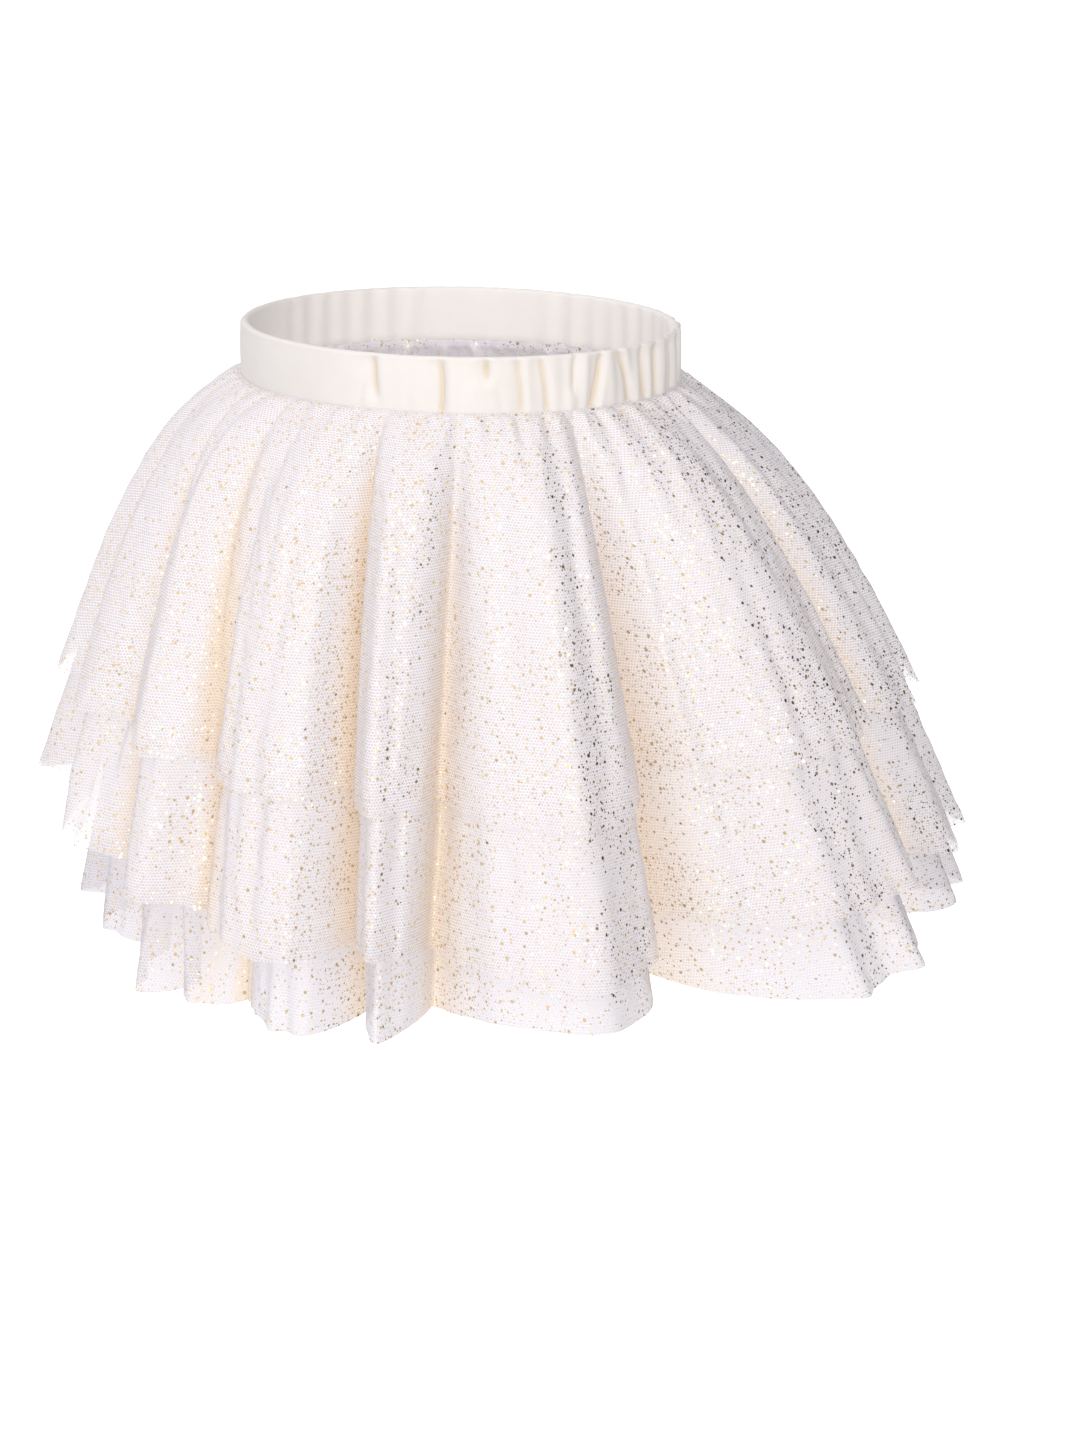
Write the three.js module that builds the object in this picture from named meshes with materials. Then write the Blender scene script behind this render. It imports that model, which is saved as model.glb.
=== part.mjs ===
// A child's pull-on tulle skirt, as worn: a gathered waistband and three tiers of net that hang from it,
// each tier in a front and a back panel.
// Millimetres, +Z up. The origin is the middle of the waist opening, half way up the band.
// The front faces -Y and the wearer's left side faces +X. Angles run round the waist from the
// centre front, in degrees, towards the wearer's left side.
import * as THREE from "three";

// Waist: the middle line of the band's wall
const WAIST_HALF_WIDTH = 98;
const WAIST_HALF_DEPTH = 83;
const BAND_HEIGHT = 22;

// Net: the depth of each tier below the band, and how the tiers lie on each other
const TIERS = [
  { name: "inner", length: 240, layer: 0 },
  { name: "middle", length: 214, layer: 1 },
  { name: "outer", length: 156, layer: 2 },
];
const NET_THICKNESS = 1.1;
const SEAM_GAP = 0.3;
const LAYER_OUT = 1.95; // from one tier to the next, at the band
const LAYER_UP = 1.5;
const LAYER_SPREAD = 4; // the further spread, reached below the band
const LAYER_FADE = 60;

// Flare of the crests: the slope from the vertical just under the band, how far down that fades,
// and the slope of each tier at its hem. Angles are from the centre front, to both sides.
const FLARE = [
  { angle: 0, top: 78, fade: 30, inner: 9, middle: 20, outer: 20 },
  { angle: 60, top: 58, fade: 31, inner: 13, middle: 15, outer: 15 },
  { angle: 100, top: 52, fade: 34, inner: 13, middle: 14, outer: 14 },
  { angle: 140, top: 57, fade: 56, inner: 20, middle: 21, outer: 21 },
  { angle: 180, top: 60, fade: 68, inner: 20, middle: 21, outer: 21 },
];

// Folds: a row is a trough and the crest after it. The trough starts at the angle "top" under the band,
// meets the hem at the angle "hem", is "deep" there and lifts the hem by "lift". The crest swells,
// leans towards the next trough, and hangs longer or shorter than its tier's length.
const FOLDS = [
  { top: 4, hem: 19, deep: 20, lift: 2, swell: 0, lean: 0.2, inner: 6, middle: -4, outer: 0 },
  { top: 21, hem: 33, deep: 22, lift: 2, swell: 2, lean: 0.3, inner: 4, middle: 4, outer: 2 },
  { top: 49, hem: 55, deep: 36, lift: 4, swell: 3, lean: -0.2, inner: 2, middle: -2, outer: 3 },
  { top: 68, hem: 65, deep: 30, lift: 4, swell: 5, lean: 0.4, inner: -2, middle: 9, outer: 8 },
  { top: 96, hem: 103, deep: 38, lift: 14, swell: 7, lean: 0.3, inner: 6, middle: 1, outer: -2 },
  { top: 133, hem: 144, deep: 30, lift: 4, swell: 3, lean: 0.2, inner: 7, middle: 8, outer: 2 },
  { top: 150, hem: 160, deep: 24, lift: 2, swell: 4, lean: 0, inner: 12, middle: 12, outer: 4 },
  { top: 169, hem: 174, deep: 28, lift: 4, swell: 2, lean: 0.3, inner: 9, middle: 6, outer: -2 },
  { top: 185, hem: 189, deep: 25, lift: 2, swell: 5, lean: -0.3, inner: 11, middle: 12, outer: 3 },
  { top: 205, hem: 207, deep: 30, lift: 6, swell: 1, lean: 0.1, inner: 4, middle: 7, outer: 5 },
  { top: 222, hem: 220, deep: 22, lift: 2, swell: 4, lean: 0.3, inner: 7, middle: 2, outer: -1 },
  { top: 243, hem: 240, deep: 34, lift: 8, swell: 4, lean: -0.2, inner: 0, middle: 5, outer: 3 },
  { top: 263, hem: 260, deep: 28, lift: 3, swell: 2, lean: 0.3, inner: -4, middle: 2, outer: 6 },
  { top: 284, hem: 281, deep: 34, lift: 6, swell: 5, lean: 0, inner: 3, middle: -3, outer: 1 },
  { top: 303, hem: 300, deep: 24, lift: 2, swell: 1, lean: -0.3, inner: -3, middle: -8, outer: -3 },
  { top: 318, hem: 321, deep: 28, lift: 3, swell: 3, lean: 0.1, inner: -5, middle: -24, outer: -22 },
  { top: 332, hem: 343, deep: 24, lift: 3, swell: 3, lean: 0, inner: 0, middle: -34, outer: -14 },
  { top: 346, hem: 363, deep: 20, lift: 2, swell: 0, lean: 0, inner: 12, middle: -14, outer: -6 },
];
const FOLD_FADE_IN = 66; // how far under the band the folds reach most of their depth
const TROUGH_ROUND = 0.18;
const CREST_POWER = 0.75;
const LAYER_TIGHTER = 0.07; // the share by which each tier's troughs are shallower than the one inside
const PUCKER_WIDTH = 8; // small gathers under the band, in degrees, which run out into the folds
const PUCKER_DEPTH = 1.3;
const PUCKER_FADE = 24;
const PUCKER_START = 5;
const ROWS_DOWN = [0, 6, 16, 34, 64, 108, 158, 188]; // the hem's own row follows
const LEAST_ROW = 30;
const LEAST_COLUMNS = 6;
const COLUMNS_PER_PUCKER = 3;

// Panels: the troughs where the side seams are
const LEFT_SEAM = 4;
const RIGHT_SEAM = 13;

// Waistband: its section, with the share of a gather's depth that each point takes, and its creases
// from the side round to the back. The centre front is plain. The other side has the same creases,
// a little shifted.
const BAND_SECTION = [
  { out: 1.5, up: -11, gather: 0.6 },
  { out: 1.8, up: -9.9, gather: 1 },
  { out: 1.8, up: 0, gather: 1 },
  { out: 1.5, up: 9.2, gather: 1 },
  { out: 0.2, up: 11, gather: 0.5 },
  { out: -1.5, up: 10.4, gather: 0.1 },
  { out: -1.9, up: 0, gather: 0 },
  { out: -1.9, up: -11, gather: 0 },
];
const CREASES = [
  { top: 46, foot: 46, deep: 1.5 },
  { top: 63, foot: 63, deep: 1.6 },
  { top: 74, foot: 75, deep: 1.7 },
  { top: 83, foot: 83, deep: 1.3 },
  { top: 89, foot: 90, deep: 1.4 },
  { top: 98, foot: 98, deep: 1.3 },
  { top: 106, foot: 104, deep: 1.7 },
  { top: 112, foot: 118, deep: 1.6 },
  { top: 122, foot: 124, deep: 1.4 },
  { top: 129, foot: 130, deep: 1.5 },
  { top: 139, foot: 140, deep: 1.4 },
  { top: 148, foot: 150, deep: 1.6 },
  { top: 157, foot: 158, deep: 1.3 },
  { top: 166, foot: 165, deep: 1.5 },
  { top: 175, foot: 174, deep: 1.4 },
];
const FAR_SIDE_SHIFT = 3;
const CREASE_HALF_WIDTH = 2.1;
const CREST_BETWEEN = -0.35;
const PLAIN_COLUMNS = 11;

const radians = THREE.MathUtils.degToRad;
const lerp = THREE.MathUtils.lerp;

// A point of the waist's middle line, moved outwards from it
function roundWaist(angle, outwards, up) {
  const turn = radians(angle);
  const normal = new THREE.Vector2(
    Math.sin(turn) / WAIST_HALF_WIDTH,
    -Math.cos(turn) / WAIST_HALF_DEPTH,
  ).normalize();
  return new THREE.Vector3(
    WAIST_HALF_WIDTH * Math.sin(turn) + normal.x * outwards,
    -WAIST_HALF_DEPTH * Math.cos(turn) + normal.y * outwards,
    up,
  );
}

// A tier's flare at an angle, eased between the table's rows
function flareAt(angle, tier) {
  const fromFront = Math.abs(THREE.MathUtils.euclideanModulo(angle + 180, 360) - 180);
  const after = Math.max(1, FLARE.findIndex((row) => row.angle >= fromFront));
  const [low, high] = [FLARE[after - 1], FLARE[after]];
  const share = THREE.MathUtils.smoothstep(fromFront, low.angle, high.angle);
  return {
    top: radians(lerp(low.top, high.top, share)),
    hem: radians(lerp(low[tier.name], high[tier.name], share)),
    fade: lerp(low.fade, high.fade, share),
  };
}

// The rounded crest between two troughs: 0 in a trough and 1 on the crest
function crest(share) {
  const wave = Math.hypot(Math.sin(Math.PI * share), TROUGH_ROUND) - TROUGH_ROUND;
  return (wave / (Math.hypot(1, TROUGH_ROUND) - TROUGH_ROUND)) ** CREST_POWER;
}

function puckersOf(fold, next) {
  const width = THREE.MathUtils.euclideanModulo(next.top - fold.top, 360);
  return Math.max(1, Math.round(width / PUCKER_WIDTH));
}

// A point of a tier's middle: which fold, the share of the way across it, and how far down the cloth
function tierPoint(tier, index, share, down) {
  const fold = FOLDS[index];
  const next = FOLDS[(index + 1) % FOLDS.length];
  const before = FOLDS.at(index - 1);
  const turn = index + 1 === FOLDS.length ? 360 : 0;
  const settled = down / TIERS[0].length;
  const trough = lerp(fold.top, fold.hem, settled);
  const angle = lerp(trough, lerp(next.top + turn, next.hem + turn, settled), share);
  const flare = flareAt(angle, tier);
  const high = crest(share - fold.lean * share * (1 - share));
  const eased = THREE.MathUtils.smoothstep(share, 0, 1);
  const beside = share < 0.5 ? before : next;
  const atTrough = (fold[tier.name] + beside[tier.name]) / 2 - lerp(fold.lift, next.lift, eased);
  const longer = lerp(atTrough, fold[tier.name], high);
  const cloth = down * (1 + longer / tier.length);
  const fading = flare.fade * (1 - Math.exp(-cloth / flare.fade));
  const grown = 1 - Math.exp(-cloth / FOLD_FADE_IN);
  const deep = lerp(fold.deep, next.deep, eased) * (1 - LAYER_TIGHTER * tier.layer);
  const pucker =
    PUCKER_DEPTH * Math.exp(-cloth / PUCKER_FADE) * Math.min(1, cloth / PUCKER_START) *
    Math.cos(2 * Math.PI * puckersOf(fold, next) * share);
  const out =
    cloth * Math.sin(flare.hem) +
    fading * (Math.sin(flare.top) - Math.sin(flare.hem)) +
    grown * (fold.swell * high - deep * (1 - high)) +
    tier.layer * (LAYER_OUT + LAYER_SPREAD * (1 - Math.exp(-cloth / LAYER_FADE))) -
    LAYER_OUT -
    pucker;
  const fall = cloth * Math.cos(flare.hem) + fading * (Math.cos(flare.top) - Math.cos(flare.hem));
  const start = -BAND_HEIGHT / 2 - SEAM_GAP - NET_THICKNESS / 2;
  return roundWaist(angle, out, start - (TIERS.length - 1 - tier.layer) * LAYER_UP - fall);
}

// Joins a grid of points whose rows close on themselves, capped at both ends or closed in a ring
function loopGeometry(loops, ring) {
  const around = loops[0].length;
  const index = [];
  const quad = (a, b, c, d) => index.push(a, b, c, b, d, c);
  loops.slice(ring ? 0 : 1).forEach((_, n) => {
    const [here, there] = [n * around, ((n + 1) % loops.length) * around];
    for (let step = 0; step < around; step += 1) {
      const beside = (step + 1) % around;
      quad(here + step, there + step, here + beside, there + beside);
    }
  });
  if (!ring) {
    const last = (loops.length - 1) * around;
    for (let step = 0; step < around / 2 - 1; step += 1) {
      const back = around - 1 - step;
      quad(step, step + 1, back, back - 1);
      quad(last + step, last + back, last + step + 1, last + back - 1);
    }
  }
  const geometry = new THREE.BufferGeometry().setFromPoints(loops.flat());
  geometry.setIndex(index);
  geometry.computeVertexNormals();
  return geometry;
}

// The columns of points round a tier, from the band to the hem, with the directions across and out
function tierColumns(tier) {
  const downs = ROWS_DOWN.filter((down) => down < tier.length - LEAST_ROW).concat(tier.length);
  const places = FOLDS.flatMap((fold, index) => {
    const puckers = puckersOf(fold, FOLDS[(index + 1) % FOLDS.length]);
    const count = Math.max(LEAST_COLUMNS, COLUMNS_PER_PUCKER * puckers);
    return Array.from({ length: count }, (_, n) => ({ index, share: n / count }));
  });
  const middle = places.map(({ index, share }) => downs.map((down) => tierPoint(tier, index, share, down)));
  return middle.map((column, c) => {
    const [left, right] = [middle.at(c - 1), middle[(c + 1) % middle.length]];
    const walls = column.map((point, r) => {
      const across = right[r].clone().sub(left[r]).normalize();
      const along = column[Math.min(r + 1, column.length - 1)].clone().sub(column[Math.max(r - 1, 0)]);
      return { point, across, normal: along.cross(across).normalize() };
    });
    return { ...places[c], walls };
  });
}

// One panel of a tier, from one seam's trough to the next, a gap short of each
function panelGeometry(columns, first, last) {
  const from = columns.findIndex(({ index, share }) => index === first && share === 0);
  const to = columns.findIndex(({ index, share }) => index === last && share === 0);
  const span = THREE.MathUtils.euclideanModulo(to - from, columns.length);
  const loops = Array.from({ length: span + 1 }, (_, n) => {
    const { walls } = columns[(from + n) % columns.length];
    const shift = n === 0 ? SEAM_GAP : n === span ? -SEAM_GAP : 0;
    const face = (side) =>
      walls.map(({ point, across, normal }) =>
        point.clone().addScaledVector(across, shift).addScaledVector(normal, side * NET_THICKNESS),
      );
    return [...face(-0.5), ...face(0.5).reverse()];
  });
  return loopGeometry(loops, false);
}

// The band: columns stand in each crease, on its shoulders and between creases
function bandGeometry() {
  const far = CREASES.map(({ top, foot, deep }) => ({
    top: 360 - top + FAR_SIDE_SHIFT,
    foot: 360 - foot + FAR_SIDE_SHIFT,
    deep,
  }));
  const creases = [...CREASES, ...far.reverse()];
  const columns = creases.flatMap((crease, n) => {
    const beside = (side) => ({
      top: crease.top + side * CREASE_HALF_WIDTH,
      foot: crease.foot + side * CREASE_HALF_WIDTH,
      deep: 0,
    });
    const next = creases[n + 1];
    const between = next && {
      top: (crease.top + next.top) / 2,
      foot: (crease.foot + next.foot) / 2,
      deep: CREST_BETWEEN,
    };
    return [beside(-1), crease, beside(1), ...(between ? [between] : [])];
  });
  const [first, last] = [columns[0], columns.at(-1)];
  for (let n = 1; n < PLAIN_COLUMNS; n += 1) {
    const angle = lerp(last.top, first.top + 360, n / PLAIN_COLUMNS);
    columns.push({ top: angle, foot: angle, deep: 0 });
  }
  const loops = columns.map((column) =>
    BAND_SECTION.map(({ out, up, gather }) => {
      const angle = lerp(column.foot, column.top, up / BAND_HEIGHT + 0.5);
      return roundWaist(angle, out - column.deep * gather, up);
    }),
  );
  return loopGeometry(loops, true);
}

const ivoryKnit = new THREE.MeshStandardMaterial({ color: 0xf6f0e6, roughness: 0.85, metalness: 0 });
const whiteNet = new THREE.MeshStandardMaterial({ color: 0xf4f1f2, roughness: 0.6, metalness: 0 });

function named(name, geometry, material) {
  const mesh = new THREE.Mesh(geometry, material);
  mesh.name = name;
  return mesh;
}

const skirt = new THREE.Group();
skirt.add(named("waistband", bandGeometry(), ivoryKnit));
TIERS.forEach((tier) => {
  const columns = tierColumns(tier);
  skirt.add(named(`${tier.name}_tier_front`, panelGeometry(columns, RIGHT_SEAM, LEFT_SEAM), whiteNet));
  skirt.add(named(`${tier.name}_tier_back`, panelGeometry(columns, LEFT_SEAM, RIGHT_SEAM), whiteNet));
});

export default skirt;
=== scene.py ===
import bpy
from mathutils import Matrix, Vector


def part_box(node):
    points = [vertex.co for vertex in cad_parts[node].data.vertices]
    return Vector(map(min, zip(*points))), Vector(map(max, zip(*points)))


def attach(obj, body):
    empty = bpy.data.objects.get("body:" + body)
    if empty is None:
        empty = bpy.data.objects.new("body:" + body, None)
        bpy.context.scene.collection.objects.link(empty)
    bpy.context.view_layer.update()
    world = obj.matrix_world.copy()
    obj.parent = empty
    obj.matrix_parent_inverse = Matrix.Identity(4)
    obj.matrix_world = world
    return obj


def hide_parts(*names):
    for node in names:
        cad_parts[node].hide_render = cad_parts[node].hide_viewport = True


bl_info = {
    "name": "Tulle skirt",
    "version": (1, 0, 0),
    "blender": (4, 5, 0),
    "location": "3D View > Sidebar > Skirt",
    "description": "Dresses a child's pull-on tulle skirt with knit, gathered net and foil dots",
    "category": "Add Mesh",
}

import math
from collections import namedtuple

import bpy
import numpy as np
from bpy.props import FloatProperty, FloatVectorProperty, PointerProperty
from bpy.types import Operator, Panel, PropertyGroup
from mathutils import Vector

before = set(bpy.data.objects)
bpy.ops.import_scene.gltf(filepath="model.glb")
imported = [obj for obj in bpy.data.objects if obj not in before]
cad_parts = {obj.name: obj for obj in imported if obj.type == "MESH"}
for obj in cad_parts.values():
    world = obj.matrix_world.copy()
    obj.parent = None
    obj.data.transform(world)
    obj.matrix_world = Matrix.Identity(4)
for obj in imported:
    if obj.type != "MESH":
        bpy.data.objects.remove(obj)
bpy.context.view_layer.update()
MM = 0.001

# Tables are in millimetres and in degrees round the waist from the centre front, towards the
# wearer's left side, which faces +X. The front faces -Y.
Tier = namedtuple("Tier", "name length layer")
TIERS = [Tier("inner", 240, 0), Tier("middle", 214, 1), Tier("outer", 156, 2)]

# Flare of the crests: the slope under the band, how far down that fades, and each tier's slope
# at its hem
Flare = namedtuple("Flare", "angle top fade inner middle outer")
FLARE = [
    Flare(0, 78, 30, 9, 20, 20),
    Flare(60, 58, 31, 13, 15, 15),
    Flare(100, 52, 34, 13, 14, 14),
    Flare(140, 57, 56, 20, 21, 21),
    Flare(180, 60, 68, 20, 21, 21),
]

# Folds: a row is a trough and the crest after it. The trough runs from the angle "top" under the band
# to "hem" at the hem. It is "deep" below the crests and lifts the hem by "lift". The crest swells
# outwards, leans to one side, and hangs longer in each tier by the next three. The last says how much
# painted warm shade darkens the net's colour in the trough.
Fold = namedtuple("Fold", "top hem deep lift swell lean inner middle outer warm")
FOLDS = [
    Fold(4, 19, 20, 2, 0, 0.2, 6, -4, 0, 0.3),
    Fold(21, 33, 22, 2, 2, 0.3, 4, 4, 2, 0.55),
    Fold(49, 55, 36, 4, 3, -0.2, 2, -2, 3, 1.0),
    Fold(68, 65, 30, 4, 5, 0.4, -2, 9, 8, 0.3),
    Fold(96, 103, 38, 14, 7, 0.3, 6, 1, -2, 0.35),
    Fold(133, 144, 30, 4, 3, 0.2, 3, 8, 2, 0.7),
    Fold(150, 160, 24, 2, 4, 0, 12, 12, 4, 0.25),
    Fold(169, 174, 28, 4, 2, 0.3, 9, 6, -2, 0.3),
    Fold(185, 189, 25, 2, 5, -0.3, 11, 12, 3, 0.25),
    Fold(205, 207, 30, 6, 1, 0.1, 4, 7, 5, 0.4),
    Fold(222, 220, 22, 2, 4, 0.3, 7, 2, -1, 0.25),
    Fold(243, 240, 34, 8, 4, -0.2, 0, 5, 3, 0.35),
    Fold(263, 260, 28, 3, 2, 0.3, -4, 2, 6, 0.3),
    Fold(284, 281, 34, 6, 5, 0, 3, -3, 1, 0.45),
    Fold(303, 300, 24, 2, 1, -0.3, -3, -8, -3, 0.3),
    Fold(318, 321, 28, 3, 3, 0.1, -5, -24, -22, 0.35),
    Fold(332, 343, 24, 3, 3, 0, 0, -34, -14, 0.3),
    Fold(346, 363, 20, 2, 0, 0, 12, -14, -6, 0.25),
]
FOLD_FADE_IN = 66

# Soft pleats between the folds: the angle under the band and at the hem, how deep, and half the
# width in degrees
Pleat = namedtuple("Pleat", "top hem deep wide")
PLEATS = [
    Pleat(12, 9, 4, 2.4),
    Pleat(31, 28, 6, 3),
    Pleat(40, 42, 3, 2),
    Pleat(109, 113, 2.4, 2.8),
    Pleat(122, 128, 3, 2.8),
    Pleat(158, 168, 2, 2.6),
    Pleat(178, 182, 3, 2.4),
    Pleat(196, 199, 5, 2.8),
    Pleat(214, 213, 4, 2.4),
    Pleat(231, 232, 4, 2.6),
    Pleat(252, 250, 5, 3),
    Pleat(273, 271, 4, 2.6),
    Pleat(294, 291, 5, 2.8),
    Pleat(311, 310, 4, 2.4),
    Pleat(325, 331, 2.5, 2.4),
    Pleat(339, 351, 2, 2.4),
    Pleat(355, 356, 2.5, 2.4),
]
PLEAT_LOOSER = 0.15

# How round the troughs are, and how blunt the crests
TROUGH_ROUND = 0.12
CREST_POWER = 0.66

# How the tiers lie on each other: each next one has shallower folds, and stands further out and up
LAYER_TIGHTER = 0.07
LAYER_OUT = 1.95
LAYER_UP = 1.5
LAYER_SPREAD = 4
LAYER_FADE = 60

# Gathers under the band: how wide each is in degrees, how deep, and the depth of the fine ones
PUCKER_WIDTH = 8
PUCKER_DEEP = 1.9
FINE_PUCKER_DEEP = 0.36
SEAM_DROP = -0.6
SEAM_PUFF = 2.8

# How far the cloth waves in and out: wide and shared by the tiers, in each tier alone, fine, and in
# small creases. The hem also waves in length.
SHARED_WAVE = 1.25
OWN_WAVE = 0.45
FINE_WAVE = 0.14
SMALL_CREASE = 0.16
HEM_WAVE = 0.4
HEM_REACH = 14

NET_COLUMNS_PER_DEGREE = 2
NET_ROWS = 88

# Creases of the waistband: where each is at the top and the foot, how deep, and from what share of the
# height to what share it shows. The centre front is plain.
Crease = namedtuple("Crease", "top foot deep start end")
CREASES = [
    Crease(43, 42, 0.6, -0.2, 0.6),
    Crease(46, 46, 1.5, 0.1, 1.1),
    Crease(63, 63, 1.6, -0.2, 1.1),
    Crease(74, 75, 1.7, 0.45, 1.1),
    Crease(74.5, 79, 0.6, -0.2, 0.6),
    Crease(83, 83, 1.3, -0.2, 1.1),
    Crease(89, 90, 1.4, -0.2, 1.1),
    Crease(98, 98, 1.0, 0.2, 1.1),
    Crease(106, 104, 1.7, -0.2, 1.1),
    Crease(112, 118, 1.6, -0.2, 1.1),
    Crease(122, 124, 1.4, -0.2, 1.1),
    Crease(129, 130, 1.5, -0.2, 1.1),
    Crease(139, 140, 1.4, -0.2, 1.1),
    Crease(148, 150, 1.6, -0.2, 1.1),
    Crease(157, 158, 1.3, -0.2, 1.1),
    Crease(166, 165, 1.5, -0.2, 1.1),
    Crease(175, 174, 1.4, -0.2, 1.1),
]
FAR_SIDE_SHIFT = 3
PLAIN_FRONT = 38
GATHERS_GROW = 40
BAND_COLUMNS = 1440

# Foil dots of two sizes, in millimetres: how far apart, the radii, and the share that is there
Dots = namedtuple("Dots", "spacing least most share")
SMALL_DOTS = Dots(2.0, 0.23, 0.47, 0.8)
LARGE_DOTS = Dots(4.6, 0.46, 0.74, 0.78)

# The net gets clearer near the hem, and its edge softer
CLEAR_HEM = 34
SOFT_EDGE = 9
EDGE_FADE = 0.35
INNER_HAZE = 0.9
INNER_CLEARER = 0.2
OUTER_CLEARER = 0.06
LIGHT_THROUGH_NET = 0.8

# Camera and light, in degrees, metres and watts
CAMERA_SIDE = 70
CAMERA_AWAY = 1.978
CAMERA_UP = 0.298
CAMERA_SHIFT = 0.0316
LOOK_UP = -0.1502
PICTURE_HEIGHT = 0.576
FLOOR_UP = -0.68
Lamp = namedtuple("Lamp", "name angle up away size power tint")
KEY_LAMP = Lamp("Key light", 62, 22, 2.4, 2.2, 8, (1, 0.96, 0.9))
SMALL_LAMP = Lamp("Small light", 80, 24, 2.4, 1.0, 13, (1, 0.94, 0.84))
UNLIT_SIDE = 185
ROOM_LIGHT, ROOM_DARK = 0.94, 0.26
GLOSS_LIGHT, GLOSS_DARK = 1.0, 0.07


def side_of(degrees):
    """The level direction away from the skirt at an angle from the centre front."""
    turn = math.radians(degrees)
    return Vector((math.sin(turn), -math.cos(turn), 0))


def mix(low, high, share):
    return low + (high - low) * share


def smooth(share):
    share = np.clip(share, 0, 1)
    return share * share * (3 - 2 * share)


def round_waist(sizes, angle, outwards, up):
    """Points of the waist's middle line, moved outwards from it, in millimetres."""
    wide, deep = sizes.waist_half_width / MM, sizes.waist_half_depth / MM
    turn = np.radians(angle)
    across, along = np.sin(turn) / wide, -np.cos(turn) / deep
    size = np.hypot(across, along)
    x = wide * np.sin(turn) + across / size * outwards
    y = -deep * np.cos(turn) + along / size * outwards
    return np.stack(np.broadcast_arrays(x, y, up), axis=-1)


def soft_waves(seed, place, cloth, count, least, most, drift):
    """Even-sized waves round the skirt, of mean square 1, that wander as they go down."""
    chance = np.random.default_rng(seed)
    total = np.zeros(np.broadcast(place, cloth).shape)
    for _ in range(count):
        rounds = chance.integers(least, most + 1)
        slope, start = chance.normal(0, drift), chance.uniform(0, 2 * math.pi)
        total = total + np.cos(rounds * place + slope * cloth + start)
    return total * math.sqrt(2 / count)


def flare_at(angle, tier):
    """A tier's slopes at an angle, eased between the rows of the table."""
    from_front = np.abs((angle + 180) % 360 - 180)
    marks = np.array([row.angle for row in FLARE])
    after = np.clip(np.searchsorted(marks, from_front), 1, len(FLARE) - 1)
    share = smooth((from_front - marks[after - 1]) / (marks[after] - marks[after - 1]))

    def between(column):
        values = np.array([getattr(row, column) for row in FLARE])
        return mix(values[after - 1], values[after], share)

    return np.radians(between("top")), np.radians(between(tier.name)), between("fade")


def crest(share):
    """The rounded crest between two troughs: 0 in a trough and 1 on the crest."""
    wave = np.hypot(np.sin(np.pi * share), TROUGH_ROUND) - TROUGH_ROUND
    return np.maximum(wave / (math.hypot(1, TROUGH_ROUND) - TROUGH_ROUND), 0) ** CREST_POWER


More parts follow.
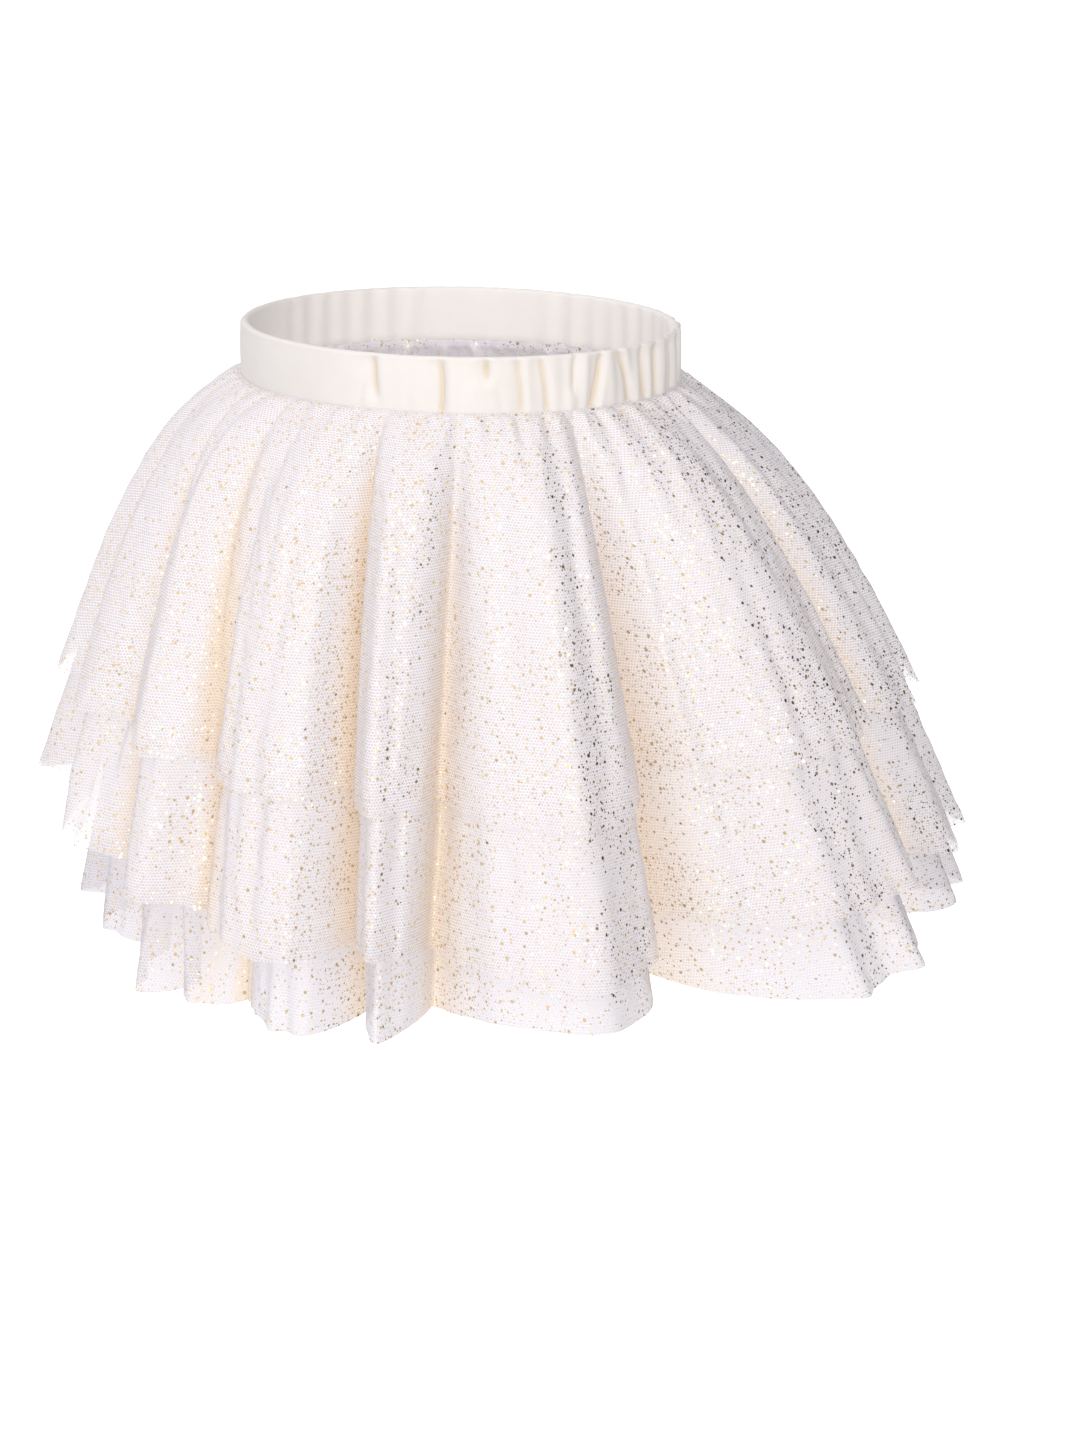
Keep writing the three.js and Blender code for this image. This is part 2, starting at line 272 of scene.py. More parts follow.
def fold_points(sizes, tier, index, columns, rows):
    """The grid of points of one fold of a tier, how far down the cloth each is, and its marks."""
    fold, following, before = FOLDS[index], FOLDS[(index + 1) % len(FOLDS)], FOLDS[index - 1]
    turn = 360 if index + 1 == len(FOLDS) else 0
    share = np.linspace(0, 1, columns + 1)[:, None]
    down = rows[None, :]
    settled = down / TIERS[0].length
    trough = mix(fold.top, fold.hem, settled)
    angle = mix(trough, mix(following.top + turn, following.hem + turn, settled), share)
    flare_top, flare_hem, fade = flare_at(angle, tier)
    high = crest(share - fold.lean * share * (1 - share))
    eased = smooth(share)
    own = getattr(fold, tier.name)
    beside = np.where(share < 0.5, getattr(before, tier.name), getattr(following, tier.name))
    at_trough = (own + beside) / 2 - mix(fold.lift, following.lift, eased)
    longer = mix(at_trough, own, high)
    place = np.radians(mix(fold.top, following.top + turn, share))
    cloth = np.maximum(down, 0) * (1 + longer / tier.length)
    near_hem = np.exp((cloth - tier.length) / HEM_REACH)
    cloth = cloth + HEM_WAVE * near_hem * soft_waves(tier.layer + 5, place, 0 * cloth, 6, 9, 36, 0)

    fading = fade * (1 - np.exp(-cloth / fade))
    grown = 1 - np.exp(-cloth / FOLD_FADE_IN)
    deep = mix(fold.deep, following.deep, eased) * (1 - LAYER_TIGHTER * tier.layer)
    out = cloth * np.sin(flare_hem) + fading * (np.sin(flare_top) - np.sin(flare_hem))
    out += grown * (fold.swell * high - deep * (1 - high))
    out += tier.layer * (LAYER_OUT + LAYER_SPREAD * (1 - np.exp(-cloth / LAYER_FADE))) - LAYER_OUT

    puckers = max(1, round(((following.top - fold.top) % 360) / PUCKER_WIDTH))
    groove = (0.5 + 0.5 * np.cos(2 * np.pi * puckers * share)) ** 1.7
    uneven = 1 + 0.35 * soft_waves(3, place, cloth, 5, 5, 30, 0.01)
    starts = np.minimum(1, cloth / 3)
    out += starts * np.exp(-cloth / 26) * PUCKER_DEEP * uneven * (0.42 - groove)
    fine = soft_waves(tier.layer + 20, place, cloth, 5, 92, 118, 0.02)
    out += starts * np.exp(-cloth / 11) * FINE_PUCKER_DEEP * fine

    loose = 1 - np.exp(-cloth / 55)
    out += loose * SHARED_WAVE * soft_waves(7, place, cloth, 9, 24, 52, 0.006)
    out += loose * OWN_WAVE * soft_waves(tier.layer + 30, place, cloth, 9, 45, 100, 0.012)
    out += (0.3 + near_hem) * FINE_WAVE * soft_waves(tier.layer + 40, place, cloth, 8, 50, 110, 0.03)
    out += SMALL_CREASE * soft_waves(tier.layer + 50, place, cloth, 16, 40, 130, 0.35)

    pleated = 0
    for pleat in PLEATS:
        aside = (angle - mix(pleat.top, pleat.hem, settled) + 180) % 360 - 180
        apart = (aside / pleat.wide) ** 2
        pleated = pleated + pleat.deep * (1 - apart) * np.exp(-0.8 * apart)
    pleated = pleated * (1 - np.exp(-cloth / 30)) * (1 - PLEAT_LOOSER * tier.layer)
    out -= pleated

    fall = cloth * np.cos(flare_hem) + fading * (np.cos(flare_top) - np.cos(flare_hem))
    start = -sizes.band_height / MM / 2 - SEAM_DROP - (TIERS[-1].layer - tier.layer) * LAYER_UP
    puff = SEAM_PUFF * tier.layer / TIERS[-1].layer * starts * np.exp(-cloth / 7) * (0.6 - groove)
    up = start - fall + np.maximum(puff * (1 + 0.5 * soft_waves(4, place, cloth, 5, 3, 14, 0)), 0)
    tucked = np.clip(-down, 0, 1)
    out = mix(out, -0.4 * (TIERS[-1].layer - tier.layer) - 0.6, tucked)
    up = mix(up, 1.2 - sizes.band_height / MM / 2, tucked)
    # Painted shade: a warm, darker mark for the net's colour in the troughs, the pleats and the puckers'
    # grooves
    warm = mix(fold.warm, following.warm, share)
    pucker_shade = 0.36 * groove * starts * np.exp(-cloth / 24)
    trough_shade = grown * (0.32 * (1 - high) + warm * (1 - high) ** 2)
    painted_shade = np.maximum(np.maximum(trough_shade, pleated / 18), pucker_shade)
    marks = {"fold_depth": painted_shade, "hem_share": np.broadcast_to(down / tier.length, painted_shade.shape)}
    return round_waist(sizes, angle, out, up), cloth - 3 * tucked, marks


def new_piece(name, points, faces, corners, marks, material):
    """A smooth mesh from points in millimetres, with its cloth map and its points' marks."""
    mesh = bpy.data.meshes.new(name)
    mesh.from_pydata((points * MM).tolist(), [], faces.tolist())
    mesh.uv_layers.new(name="Cloth").uv.foreach_set("vector", corners.astype(np.float32).ravel())
    for mark_name, values in marks.items():
        mark = mesh.attributes.new(mark_name, "FLOAT", "POINT")
        mark.data.foreach_set("value", values.astype(np.float32).ravel())
    mesh.materials.append(material)
    mesh.validate()
    mesh.shade_smooth()
    piece = bpy.data.objects.new(name, mesh)
    bpy.context.scene.collection.objects.link(piece)
    return piece


def tier_piece(sizes, tier, material):
    """One tier as a ring of net, from inside the band's seam to the hem."""
    rows = np.concatenate([[-1], tier.length * np.linspace(0, 1, NET_ROWS) ** 1.2])
    points, marks, faces, corners = [], {"fold_depth": [], "hem_share": []}, [], []
    first = 0
    spans = [(FOLDS[(n + 1) % len(FOLDS)].top - fold.top) % 360 for n, fold in enumerate(FOLDS)]
    counts = [round(span * NET_COLUMNS_PER_DEGREE) for span in spans]
    total = sum(counts)
    for index, count in enumerate(counts):
        grid, cloth, values = fold_points(sizes, tier, index, count, rows)
        points.append(grid[:-1].reshape(-1, 3))
        for name, collected in marks.items():
            collected.append(values[name][:-1].ravel())
        steps = np.linalg.norm(np.diff(grid, axis=0), axis=2)
        along = np.concatenate([np.zeros((1, len(rows))), np.cumsum(steps, axis=0)])
        along += index * 211 - along[count // 2]
        for column in range(count):
            here, there = first + column, (first + column + 1) % total
            for row in range(len(rows) - 1):
                a, b = here * len(rows) + row, there * len(rows) + row
                faces.append((a, a + 1, b + 1, b))
                for c, r in ((column, row), (column, row + 1), (column + 1, row + 1), (column + 1, row)):
                    corners.append((along[c, r], cloth[c, r]))
        first += count
    return new_piece(
        f"{tier.name}_net",
        np.concatenate(points),
        np.array(faces),
        np.array(corners),
        {name: np.concatenate(collected) for name, collected in marks.items()},
        material,
    )


def band_section():
    """The waistband's wall, round from the outside of its foot: out, up and share of a gather."""
    rows = []
    for up in np.linspace(-10.6, 9.3, 15):
        rows.append((1.45 + 0.4 * math.sin(math.pi * (up + 11) / 22), up, 1))
    for turn in np.radians(np.linspace(18, 162, 8)):
        rows.append((-0.05 + 1.75 * math.cos(turn), 9.4 + 1.6 * math.sin(turn), 0.55 + 0.45 * math.cos(turn)))
    for up in np.linspace(9.2, -10.6, 8):
        rows.append((-1.85, up, 0))
    rows.append((-1.3, -11, 0.1))
    rows.append((0.9, -11, 0.6))
    return np.array(rows)


def band_piece(sizes, material):
    """The waistband as a closed ring of knit with its gathers."""
    section = band_section()
    out, up, gather = section.T
    out, up, gather = out[None, :], up[None, :] * sizes.band_height / MM / 22, gather[None, :]
    height = up / (sizes.band_height / MM) + 0.5
    angle = np.linspace(0, 360, BAND_COLUMNS, endpoint=False)[:, None]
    far = [c._replace(top=360 - c.top + FAR_SIDE_SHIFT, foot=360 - c.foot + FAR_SIDE_SHIFT) for c in CREASES]
    groove = np.zeros((BAND_COLUMNS, len(section)))
    pinch = np.zeros_like(groove)
    for crease in CREASES + far:
        middle = mix(crease.foot, crease.top, height) + 0.5 * np.sin(3 * height + crease.top)
        aside = (angle - middle + 180) % 360 - 180
        shows = smooth((height - crease.start) / 0.3) * smooth((crease.end - height) / 0.3)
        before, after = np.maximum(-aside, 0), np.maximum(aside, 0)
        narrow = np.exp(-((before / 0.9) ** 2) - (after / 0.6) ** 2)
        leaning = np.exp(-((before / 3.4) ** 2) - (after / 1.3) ** 2)
        groove += crease.deep * shows * (0.4 * narrow + 1.25 * leaning)
        # pinch: how tightly each crease draws the wall in; it shapes the wall and also sets the painted shade
        # in the crease
        drawn = np.exp(-((before / 1.1) ** 2) - (after / 0.7) ** 2)
        pinch = np.maximum(pinch, crease.deep / 1.7 * shows * drawn)
    place = np.radians(angle)
    from_front = np.abs((angle + 180) % 360 - 180)
    gathered = smooth((from_front - PLAIN_FRONT) / GATHERS_GROW)
    ruffle = 0.17 * soft_waves(61, place, 22 * height, 8, 40, 90, 0.03)
    crown = 0.3 * gathered + 0.1 * soft_waves(62, place, 22 * height, 5, 6, 20, 0.01)
    outwards = out - gather * (groove - crown * (1 - pinch) - gathered * ruffle)
    inner_side = 1 - gather
    inner_ruffle = soft_waves(63, place, 22 * height, 7, 34, 60, 0.01)
    outwards = outwards + inner_side * 0.3 * (0.2 + gathered) * inner_ruffle
    dip = gather * np.clip(np.abs(height - 0.5) * 4 - 1.2, 0, 1)
    upwards = up - np.sign(height - 0.5) * dip * 0.45 * pinch
    points = round_waist(sizes, angle, outwards, upwards)
    steps = np.linalg.norm(np.diff(points, axis=0, append=points[:1]), axis=2)
    along = np.concatenate([np.zeros((1, len(section))), np.cumsum(steps, axis=0)])
    walk = np.hypot(np.diff(out[0], append=out[0, 0]), np.diff(up[0], append=up[0, 0]))
    across = np.concatenate([[0], np.cumsum(walk)])
    faces, corners = [], []
    size = len(section)
    for column in range(BAND_COLUMNS):
        there = (column + 1) % BAND_COLUMNS
        for row in range(size):
            after = (row + 1) % size
            here, beside = column * size, there * size
            faces.append((here + row, beside + row, beside + after, here + after))
            for c, r in ((column, row), (column + 1, row), (column + 1, row + 1), (column, row + 1)):
                corners.append((along[c, r % size], across[r]))
    # The crease mark carries painted shade for the knit's colour
    return new_piece(
        "knit_waistband",
        points.reshape(-1, 3),
        np.array(faces),
        np.array(corners),
        {"crease_depth": pinch * gather},
        material,
    )


class Nodes:
    """Makes nodes and their links in one tree."""

    def __init__(self, tree):
        self.tree = tree

    def add(self, kind, inputs=(), **settings):
        node = self.tree.nodes.new(kind)
        for name, value in settings.items():
            setattr(node, name, value)
        for socket, value in dict(inputs).items():
            self.give(node.inputs[socket], value)
        return node

    def give(self, socket, value):
        if isinstance(value, bpy.types.NodeSocket):
            self.tree.links.new(value, socket)
        else:
            socket.default_value = value

    def math(self, operation, *values):
        return self.add("ShaderNodeMath", enumerate(values), operation=operation).outputs[0]

    def vector(self, operation, *values):
        node = self.add("ShaderNodeVectorMath", enumerate(values), operation=operation)
        scalar = operation in {"DOT_PRODUCT", "LENGTH", "DISTANCE"}
        return node.outputs["Value" if scalar else "Vector"]

    def scaled(self, vector, size):
        inputs = {0: vector, "Scale": size}
        return self.add("ShaderNodeVectorMath", inputs, operation="SCALE").outputs[0]

    def range(self, value, low, high, to_low, to_high, kind="LINEAR"):
        inputs = {"Value": value, "From Min": low, "From Max": high, "To Min": to_low, "To Max": to_high}
        return self.add("ShaderNodeMapRange", inputs, interpolation_type=kind).outputs["Result"]

    def cloud(self, place, scale, detail):
        inputs = {"Vector": place, "Scale": scale, "Detail": detail}
        return self.add("ShaderNodeTexNoise", inputs, noise_dimensions="2D").outputs[0]

    def blend(self, share, low, high):
        node = self.add("ShaderNodeMix", {0: share, 6: low, 7: high}, data_type="RGBA")
        return node.outputs[2]


def new_group(name, inputs, outputs):
    """An empty node group, its maker and its two end nodes."""
    tree = bpy.data.node_groups.new(name, "ShaderNodeTree")
    for label, kind, default in inputs:
        socket = tree.interface.new_socket(name=label, in_out="INPUT", socket_type=kind)
        if default is not None:
            socket.default_value = default
    for label, kind in outputs:
        tree.interface.new_socket(name=label, in_out="OUTPUT", socket_type=kind)
    nodes = Nodes(tree)
    return nodes, nodes.add("NodeGroupInput").outputs, nodes.add("NodeGroupOutput").inputs


def net_group():
    """Six-sided net cells: where the threads are. Those that run down are finer than the level zigzags."""
    name = "Net cells"
    if name in bpy.data.node_groups:
        return bpy.data.node_groups[name]
    nodes, given, result = new_group(
        name,
        [
            ("Cloth", "NodeSocketVector", None),
            ("Cell width", "NodeSocketFloat", 1.3),
            ("Thread share", "NodeSocketFloat", 0.29),
        ],
        [("Thread", "NodeSocketFloat")],
    )
    wide = nodes.math("DIVIDE", 1, given["Cell width"])
    place = nodes.scaled(given["Cloth"], wide)
    half = (0.5, math.sqrt(3) / 2, 0.5)
    less = (-0.5, -math.sqrt(3) / 2, -0.5)
    reaches = []
    for start in (place, nodes.vector("SUBTRACT", place, (0.5, math.sqrt(3) / 2, 0))):
        inside = nodes.vector("ABSOLUTE", nodes.vector("WRAP", start, half, less))
        slanted = nodes.vector("DOT_PRODUCT", inside, (0.5, math.sqrt(3) / 2, 0))
        level = nodes.vector("DOT_PRODUCT", inside, (0.8, 0, 0))
        reaches.append(nodes.math("MAXIMUM", slanted, level))
    from_edge = nodes.math("SUBTRACT", 0.5, nodes.math("MINIMUM", *reaches))
    half_thread = nodes.math("MULTIPLY", given["Thread share"], 0.5)
    solid = nodes.math("MULTIPLY", half_thread, 0.8)
    clear = nodes.math("MULTIPLY", half_thread, 1.2)
    nodes.give(result["Thread"], nodes.range(from_edge, solid, clear, 1, 0))
    return nodes.tree


def dots_group():
    """Foil dots scattered on cloth: where they are, a chance value and the way that each one tilts."""
    name = "Foil dots"
    if name in bpy.data.node_groups:
        return bpy.data.node_groups[name]
    nodes, given, result = new_group(
        name,
        [
            ("Cloth", "NodeSocketVector", None),
            ("Spacing", "NodeSocketFloat", 4.2),
            ("Least radius", "NodeSocketFloat", 0.2),
            ("Most radius", "NodeSocketFloat", 0.45),
            ("Share", "NodeSocketFloat", 0.85),
            ("Start", "NodeSocketFloat", 0.0),
        ],
        [("Dot", "NodeSocketFloat"), ("Chance", "NodeSocketFloat"), ("Tilt", "NodeSocketVector")],
    )
    shift = nodes.add("ShaderNodeCombineXYZ", {"X": given["Start"], "Y": given["Start"]}).outputs[0]
    place = nodes.vector("ADD", given["Cloth"], shift)
    scattered = nodes.add(
        "ShaderNodeTexVoronoi",
        {"Vector": place, "Scale": nodes.math("DIVIDE", 1, given["Spacing"]), "Randomness": 1.0},
        voronoi_dimensions="2D",
        feature="F1",
    )
    away = nodes.math("MULTIPLY", scattered.outputs["Distance"], given["Spacing"])
    parts = nodes.add("ShaderNodeSeparateColor", {"Color": scattered.outputs["Color"]}).outputs
    radius = nodes.range(
        nodes.math("POWER", parts["Red"], 2.6), 0, 1, given["Least radius"], given["Most radius"]
    )
    cloud = nodes.cloud(place, 0.035, 3.0)
    crowd = nodes.math("MULTIPLY", given["Share"], nodes.range(cloud, 0.36, 0.62, 0.35, 1.25))
    there = nodes.math("LESS_THAN", parts["Green"], crowd)
    inside = nodes.math("LESS_THAN", away, radius)
    nodes.give(result["Dot"], nodes.math("MULTIPLY", there, inside))
    nodes.give(result["Chance"], parts["Blue"])
    mixed = nodes.add(
        "ShaderNodeTexWhiteNoise", {"Vector": scattered.outputs["Color"]}, noise_dimensions="3D"
    ).outputs["Color"]
    nodes.give(result["Tilt"], nodes.vector("SUBTRACT", mixed, (0.5, 0.5, 0.5)))
    return nodes.tree


def knit_group():
    """Fine jersey: rows of small V stitches, as a height."""
    name = "Jersey stitches"
    if name in bpy.data.node_groups:
        return bpy.data.node_groups[name]
    nodes, given, result = new_group(
        name,
        [
            ("Cloth", "NodeSocketVector", None),
            ("Stitch width", "NodeSocketFloat", 0.6),
            ("Stitch height", "NodeSocketFloat", 0.45),
        ],
        [("Height", "NodeSocketFloat")],
    )
    parts = nodes.add("ShaderNodeSeparateXYZ", {0: given["Cloth"]}).outputs
    across = nodes.math("PINGPONG", nodes.math("DIVIDE", parts["X"], given["Stitch width"]), 0.5)
    along = nodes.math("ADD", nodes.math("DIVIDE", parts["Y"], given["Stitch height"]), across)
    loops = nodes.math("PINGPONG", along, 0.5)
    valley = nodes.math("MULTIPLY", nodes.math("SINE", nodes.math("MULTIPLY", across, 2 * math.pi)), 0.6)
    nodes.give(result["Height"], nodes.math("ADD", loops, valley))
    return nodes.tree


def new_material(name):
    """An empty material, its node maker and its shader."""
    material = bpy.data.materials.new(name)
    material.use_nodes = True
    nodes = Nodes(material.node_tree)
    shader = material.node_tree.nodes["Principled BSDF"]
    return material, nodes, shader


def cloth_map(nodes):
    return nodes.add("ShaderNodeUVMap", uv_map="Cloth").outputs[0]


def mark_value(nodes, name):
    return nodes.add("ShaderNodeAttribute", attribute_name=name).outputs["Fac"]


def foil_dots(nodes, cloth, dots, start):
    """The foil dots' group with the values of one size of dots."""
    group = nodes.add("ShaderNodeGroup", node_tree=dots_group())
    nodes.give(group.inputs["Cloth"], cloth)
    nodes.give(group.inputs["Spacing"], dots.spacing)
    nodes.give(group.inputs["Least radius"], dots.least)
    nodes.give(group.inputs["Most radius"], dots.most)
    nodes.give(group.inputs["Share"], dots.share)
    nodes.give(group.inputs["Start"], start)
    return group


def net_material(sizes, colours, tier):
    """White nylon net with gold foil dots, see-through between its threads, with painted warm shade in its
    folds and a darker painted-shade colour on the inner tiers.
    """
    material, nodes, shader = new_material(f"White net with foil dots, {tier.name} tier")
    cloth = cloth_map(nodes)
    net = nodes.add("ShaderNodeGroup", node_tree=net_group())
    nodes.give(net.inputs["Cloth"], cloth)
    nodes.give(net.inputs["Cell width"], sizes.net_cell / MM)
    nodes.give(net.inputs["Thread share"], sizes.thread_width / sizes.net_cell)
    start = 17.3 * (tier.layer + 1)
    small = foil_dots(nodes, cloth, SMALL_DOTS, start)
    large = foil_dots(nodes, cloth, LARGE_DOTS, start)
    dot = nodes.math("MAXIMUM", small.outputs["Dot"], large.outputs["Dot"])
    tilt = nodes.add("ShaderNodeMix", data_type="VECTOR")
    nodes.give(tilt.inputs["Factor"], large.outputs["Dot"])
    nodes.give(tilt.inputs[4], small.outputs["Tilt"])
    nodes.give(tilt.inputs[5], large.outputs["Tilt"])
    # Painted shade: the fold mark blends the net's colour towards a warm, darker shade in the troughs
    warm = nodes.range(mark_value(nodes, "fold_depth"), 0.12, 0.66, 0, colours.fold_shade_strength, "SMOOTHSTEP")
    outwards = tier.layer / TIERS[-1].layer
    # Painted shade: the innermost tier takes a darker copy of the net's colour, and the middle tier a little
    # of it
    share = (1 - outwards) ** 4
    plain = tuple(mix(a, b, share) for a, b in zip(colours.net, colours.net_inside))
    thread = nodes.blend(warm, plain, tuple(colours.net_in_folds))
    chance = nodes.math("MULTIPLY", small.outputs["Chance"], 0.5)
    foil = nodes.blend(chance, tuple(colours.foil), tuple(colours.foil_pale))
    nodes.give(shader.inputs["Base Color"], nodes.blend(dot, thread, foil))
    nodes.give(shader.inputs["Metallic"], dot)
    nodes.give(shader.inputs["Roughness"], nodes.range(dot, 0, 1, 0.6, 0.24))
    haze = mix(INNER_HAZE, sizes.net_haze, outwards)
    at_hem = haze - mix(INNER_CLEARER, OUTER_CLEARER, outwards)
    clear_from = 1 - CLEAR_HEM / tier.length
    soft_from = 1 - SOFT_EDGE / tier.length
    down = mark_value(nodes, "hem_share")
    in_holes = nodes.range(down, clear_from, 1, haze, at_hem, "SMOOTHSTEP")
    edge = nodes.range(down, soft_from, 1, 1, 1 - EDGE_FADE * min(tier.layer, 1))
    held = nodes.math("MULTIPLY", nodes.range(net.outputs["Thread"], 0, 1, in_holes, 1), edge)
    path = nodes.add("ShaderNodeLightPath").outputs
    passing = nodes.math("MAXIMUM", path["Is Shadow Ray"], path["Is Diffuse Ray"])
    kept = nodes.range(passing, 0, 1, 1, 1 - LIGHT_THROUGH_NET)
    nodes.give(shader.inputs["Alpha"], nodes.math("MULTIPLY", nodes.math("MAXIMUM", held, dot), kept))
    facing = nodes.add("ShaderNodeNewGeometry").outputs["Normal"]
    loose = nodes.math("POWER", small.outputs["Chance"], 4)
    amount = nodes.math("MULTIPLY", dot, nodes.range(loose, 0, 1, 0.26, 1.1))
    tilted = nodes.vector("ADD", facing, nodes.scaled(tilt.outputs[1], amount))
    nodes.give(shader.inputs["Normal"], nodes.vector("NORMALIZE", tilted))
    return material


def knit_material(colours):
    """Matte ivory stretch knit, with painted shade in its creases."""
    material, nodes, shader = new_material("Ivory stretch knit")
    cloth = cloth_map(nodes)
    knit = nodes.add("ShaderNodeGroup", node_tree=knit_group())
    nodes.give(knit.inputs["Cloth"], cloth)
    lighter = nodes.range(nodes.cloud(cloth, 0.09, 4.0), 0.3, 0.7, 0, 1)
    plain = nodes.blend(lighter, tuple(colours.knit), tuple(colours.knit_light))
    # Painted shade: the creases take a darker tan colour
    crease = nodes.range(mark_value(nodes, "crease_depth"), 0.1, 1, 0, 0.7, "SMOOTHSTEP")
    nodes.give(shader.inputs["Base Color"], nodes.blend(crease, plain, tuple(colours.knit_in_creases)))
    nodes.give(shader.inputs["Roughness"], nodes.range(knit.outputs["Height"], 0, 1, 0.92, 0.8))
    shader.inputs["Specular IOR Level"].default_value = 0.25
    shader.inputs["Sheen Weight"].default_value = 0.15
    stitches = {"Strength": 0.35, "Distance": 0.00006, "Height": knit.outputs["Height"]}
    nodes.give(shader.inputs["Normal"], nodes.add("ShaderNodeBump", stitches).outputs[0])
    return material


def floor_material(colours):
    """Plain pale studio floor, lit up like a white backdrop."""
    material, nodes, shader = new_material("Studio floor")
    shade = nodes.add("ShaderNodeTexNoise", {"Scale": 3.0, "Detail": 2.0}).outputs[0]
    light = tuple(colours.floor)
    darker = (*(0.985 * value for value in light[:3]), 1)
    nodes.give(shader.inputs["Base Color"], nodes.blend(shade, light, darker))
    seen = nodes.add("ShaderNodeLightPath").outputs["Is Camera Ray"]
    nodes.give(shader.inputs["Emission Color"], nodes.blend(seen, (0, 0, 0, 1), (1, 1, 1, 1)))
    shader.inputs["Emission Strength"].default_value = 0.75
    shader.inputs["Roughness"].default_value = 0.9
    shader.inputs["Specular IOR Level"].default_value = 0.1
    return material


def set_world():
    """A room that looks white, and lights the skirt evenly but for one darker side."""
    scene = bpy.context.scene
    world = scene.world or bpy.data.worlds.new("Studio")
    scene.world = world
    world.use_nodes = True
    nodes = Nodes(world.node_tree)
    world.node_tree.nodes.clear()
    toward = nodes.add("ShaderNodeTexCoord").outputs["Generated"]
    unlit = side_of(UNLIT_SIDE)
    dark = nodes.vector("DOT_PRODUCT", toward, (unlit.x, unlit.y, -0.1))
    soft = nodes.range(dark, -0.4, 0.9, ROOM_LIGHT, ROOM_DARK, "SMOOTHSTEP")
    gloss = nodes.range(dark, 0.05, 0.85, GLOSS_LIGHT, GLOSS_DARK, "SMOOTHSTEP")
    path = nodes.add("ShaderNodeLightPath").outputs
    lit = nodes.add("ShaderNodeMix", {"Factor": path["Is Glossy Ray"], "A": soft, "B": gloss}).outputs[0]
    seen = nodes.add("ShaderNodeMix", {"Factor": path["Is Camera Ray"], "A": lit, "B": 1.0}).outputs[0]
    colour = nodes.blend(path["Is Camera Ray"], (0.99, 0.975, 1, 1), (1, 1, 1, 1))
    back = nodes.add("ShaderNodeBackground", {"Color": colour, "Strength": seen})
    nodes.add("ShaderNodeOutputWorld", {"Surface": back.outputs[0]})


def add_light(lamp):
    """A square soft light that faces the skirt."""
    data = bpy.data.lights.new(lamp.name, "AREA")
    data.shape = "SQUARE"
    data.size = lamp.size
    data.energy = lamp.power
    data.color = lamp.tint
    light = bpy.data.objects.new(lamp.name, data)
    bpy.context.scene.collection.objects.link(light)
    up = math.radians(lamp.up)
    level = side_of(lamp.angle) * math.cos(up)
    target = Vector((0, 0, -0.12))
    light.location = target + (level + Vector((0, 0, math.sin(up)))) * lamp.away
    light.rotation_euler = (target - light.location).to_track_quat("-Z", "Y").to_euler()
    return light


def add_camera():
    """The camera at the photograph's angle and distance."""
    side = side_of(CAMERA_SIDE)
    right = Vector((-side.y, side.x, 0))
    eye = side * CAMERA_AWAY + right * CAMERA_SHIFT + Vector((0, 0, CAMERA_UP))
    target = right * CAMERA_SHIFT + Vector((0, 0, LOOK_UP))
    data = bpy.data.cameras.new("Camera")
    data.sensor_fit = "VERTICAL"
    data.sensor_height = 36
    data.lens = 36 * (target - eye).length / PICTURE_HEIGHT
    data.clip_end = 200
    camera = bpy.data.objects.new("Camera", data)
    camera.location = eye
    camera.rotation_euler = (target - eye).to_track_quat("-Z", "Y").to_euler()
    bpy.context.scene.collection.objects.link(camera)
    bpy.context.scene.camera = camera


class SkirtSizes(PropertyGroup):
    """Sizes of the skirt."""

    waist_half_width: FloatProperty(
        name="Waist half width",
        description="From the middle of the waist to the middle of the band at the side",
        default=0.098,
        min=0.05,
        unit="LENGTH",
    )
    waist_half_depth: FloatProperty(
        name="Waist half depth",
        description="From the middle of the waist to the middle of the band at the front",
        default=0.083,
        min=0.05,
        unit="LENGTH",
    )
    band_height: FloatProperty(
        name="Band height",
        description="Height of the waistband",
        default=round(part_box("waistband")[1].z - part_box("waistband")[0].z, 4),
        min=0.01,
        unit="LENGTH",
    )
    net_cell: FloatProperty(
        name="Net cell",
        description="Width of one six-sided cell of the net",
        default=0.0013,
        min=0.0005,
        precision=5,
        unit="LENGTH",
    )
    thread_width: FloatProperty(
        name="Thread width",
        description="Width of the net's threads",
        default=0.00042,
        min=0.0001,
        precision=5,
        unit="LENGTH",
    )
    net_haze: FloatProperty(
        name="Net haze",
        description="How much the fine filaments in the net's holes hide",
        subtype="FACTOR",
        default=0.66,
        min=0,
        max=1,
    )


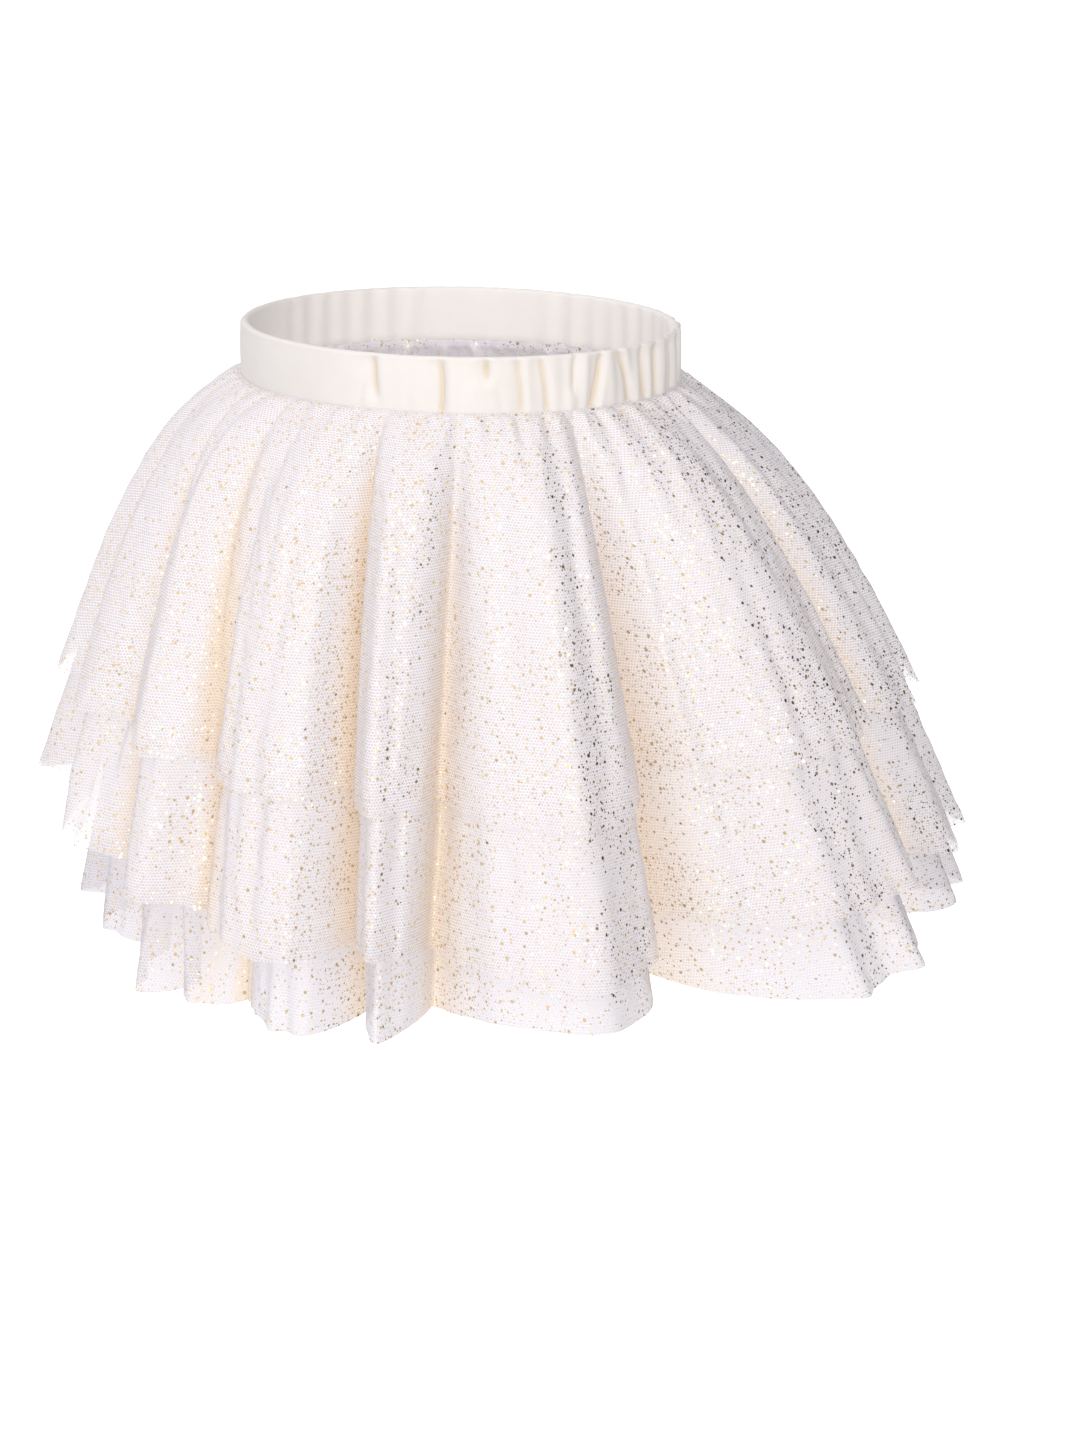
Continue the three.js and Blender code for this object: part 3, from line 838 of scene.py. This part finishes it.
class SkirtColours(PropertyGroup):
    """Colours of the skirt and of its studio."""

    net: FloatVectorProperty(
        name="Net",
        description="Colour of the outer net",
        subtype="COLOR",
        size=4,
        default=(0.85, 0.825, 0.86, 1),
    )
    # Painted shade: a darker copy of the net's colour for the innermost tier
    net_inside: FloatVectorProperty(
        name="Inner net",
        description="Colour of the innermost net, which shows alone at the hem",
        subtype="COLOR",
        size=4,
        default=(0.8, 0.775, 0.825, 1),
    )
    # Painted shade: the net's darker, warmer colour in deep folds
    net_in_folds: FloatVectorProperty(
        name="Net in folds",
        description="Warmer colour of the net in deep folds",
        subtype="COLOR",
        size=4,
        default=(0.87, 0.7, 0.53, 1),
    )
    # How strongly the painted fold shade shows
    fold_shade_strength: FloatProperty(
        name="Fold warmth",
        description="How much of the warmer colour the deepest folds take",
        subtype="FACTOR",
        default=0.85,
        min=0,
        max=1,
    )
    foil: FloatVectorProperty(
        name="Foil",
        description="Colour of the foil dots",
        subtype="COLOR",
        size=4,
        default=(0.82, 0.63, 0.37, 1),
    )
    foil_pale: FloatVectorProperty(
        name="Pale foil",
        description="Colour of the palest foil dots",
        subtype="COLOR",
        size=4,
        default=(0.95, 0.85, 0.64, 1),
    )
    knit: FloatVectorProperty(
        name="Knit",
        description="Colour of the waistband",
        subtype="COLOR",
        size=4,
        default=(0.88, 0.85, 0.825, 1),
    )
    knit_light: FloatVectorProperty(
        name="Light knit",
        description="Lighter clouds in the waistband's colour",
        subtype="COLOR",
        size=4,
        default=(0.895, 0.865, 0.84, 1),
    )
    # Painted shade: the darker tan colour in the waistband's creases
    knit_in_creases: FloatVectorProperty(
        name="Knit in creases",
        description="Colour in the waistband's creases",
        subtype="COLOR",
        size=4,
        default=(0.76, 0.64, 0.48, 1),
    )
    floor: FloatVectorProperty(
        name="Floor",
        description="Colour of the floor",
        subtype="COLOR",
        size=4,
        default=(0.8, 0.8, 0.8, 1),
    )


class SKIRT_OT_waistband(Operator):
    """Builds the gathered knit waistband"""

    bl_idname = "skirt.waistband"
    bl_label = "Waistband"

    def execute(self, context):
        scene = context.scene
        band = band_piece(scene.skirt_sizes, knit_material(scene.skirt_colours))
        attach(band, "root")
        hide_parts("waistband")
        return {"FINISHED"}


class SKIRT_OT_net_tiers(Operator):
    """Builds the three gathered tiers of net"""

    bl_idname = "skirt.net_tiers"
    bl_label = "Net tiers"

    def execute(self, context):
        scene = context.scene
        for tier in TIERS:
            material = net_material(scene.skirt_sizes, scene.skirt_colours, tier)
            net = tier_piece(scene.skirt_sizes, tier, material)
            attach(net, "root")
            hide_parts(f"{tier.name}_tier_front", f"{tier.name}_tier_back")
        return {"FINISHED"}


class SKIRT_OT_stage(Operator):
    """Builds the floor, the lights, the world and the camera"""

    bl_idname = "skirt.stage"
    bl_label = "Studio"

    def execute(self, context):
        place = (0, 0, FLOOR_UP)
        bpy.ops.mesh.primitive_circle_add(vertices=96, radius=40, fill_type="TRIFAN", location=place)
        floor = context.active_object
        floor.name = "studio_floor"
        floor.data.materials.append(floor_material(context.scene.skirt_colours))
        set_world()
        key = add_light(KEY_LAMP)
        key.visible_glossy = False
        add_light(SMALL_LAMP)
        add_camera()
        view = context.scene.view_settings
        view.view_transform = "Standard"
        context.scene.cycles.transparent_max_bounces = 16
        return {"FINISHED"}


class SKIRT_PT_sidebar(Panel):
    """Lists the skirt's sizes, colours and pieces"""

    bl_idname = "SKIRT_PT_sidebar"
    bl_label = "Tulle skirt"
    bl_space_type = "VIEW_3D"
    bl_region_type = "UI"
    bl_category = "Skirt"

    def draw(self, context):
        layout = self.layout
        for group in (context.scene.skirt_sizes, context.scene.skirt_colours):
            column = layout.column()
            for name in group.bl_rna.properties.keys():
                if name not in {"rna_type", "name"}:
                    column.prop(group, name)
        for operator in OPERATORS:
            layout.operator(operator.bl_idname)


OPERATORS = (SKIRT_OT_stage, SKIRT_OT_waistband, SKIRT_OT_net_tiers)
CLASSES = (SkirtSizes, SkirtColours, *OPERATORS, SKIRT_PT_sidebar)


def register():
    for item in CLASSES:
        bpy.utils.register_class(item)
    bpy.types.Scene.skirt_sizes = PointerProperty(type=SkirtSizes)
    bpy.types.Scene.skirt_colours = PointerProperty(type=SkirtColours)


def unregister():
    del bpy.types.Scene.skirt_colours
    del bpy.types.Scene.skirt_sizes
    for item in reversed(CLASSES):
        bpy.utils.unregister_class(item)


def main():
    register()
    bpy.ops.skirt.stage()
    bpy.ops.skirt.waistband()
    bpy.ops.skirt.net_tiers()


if __name__ == "__main__":
    main()
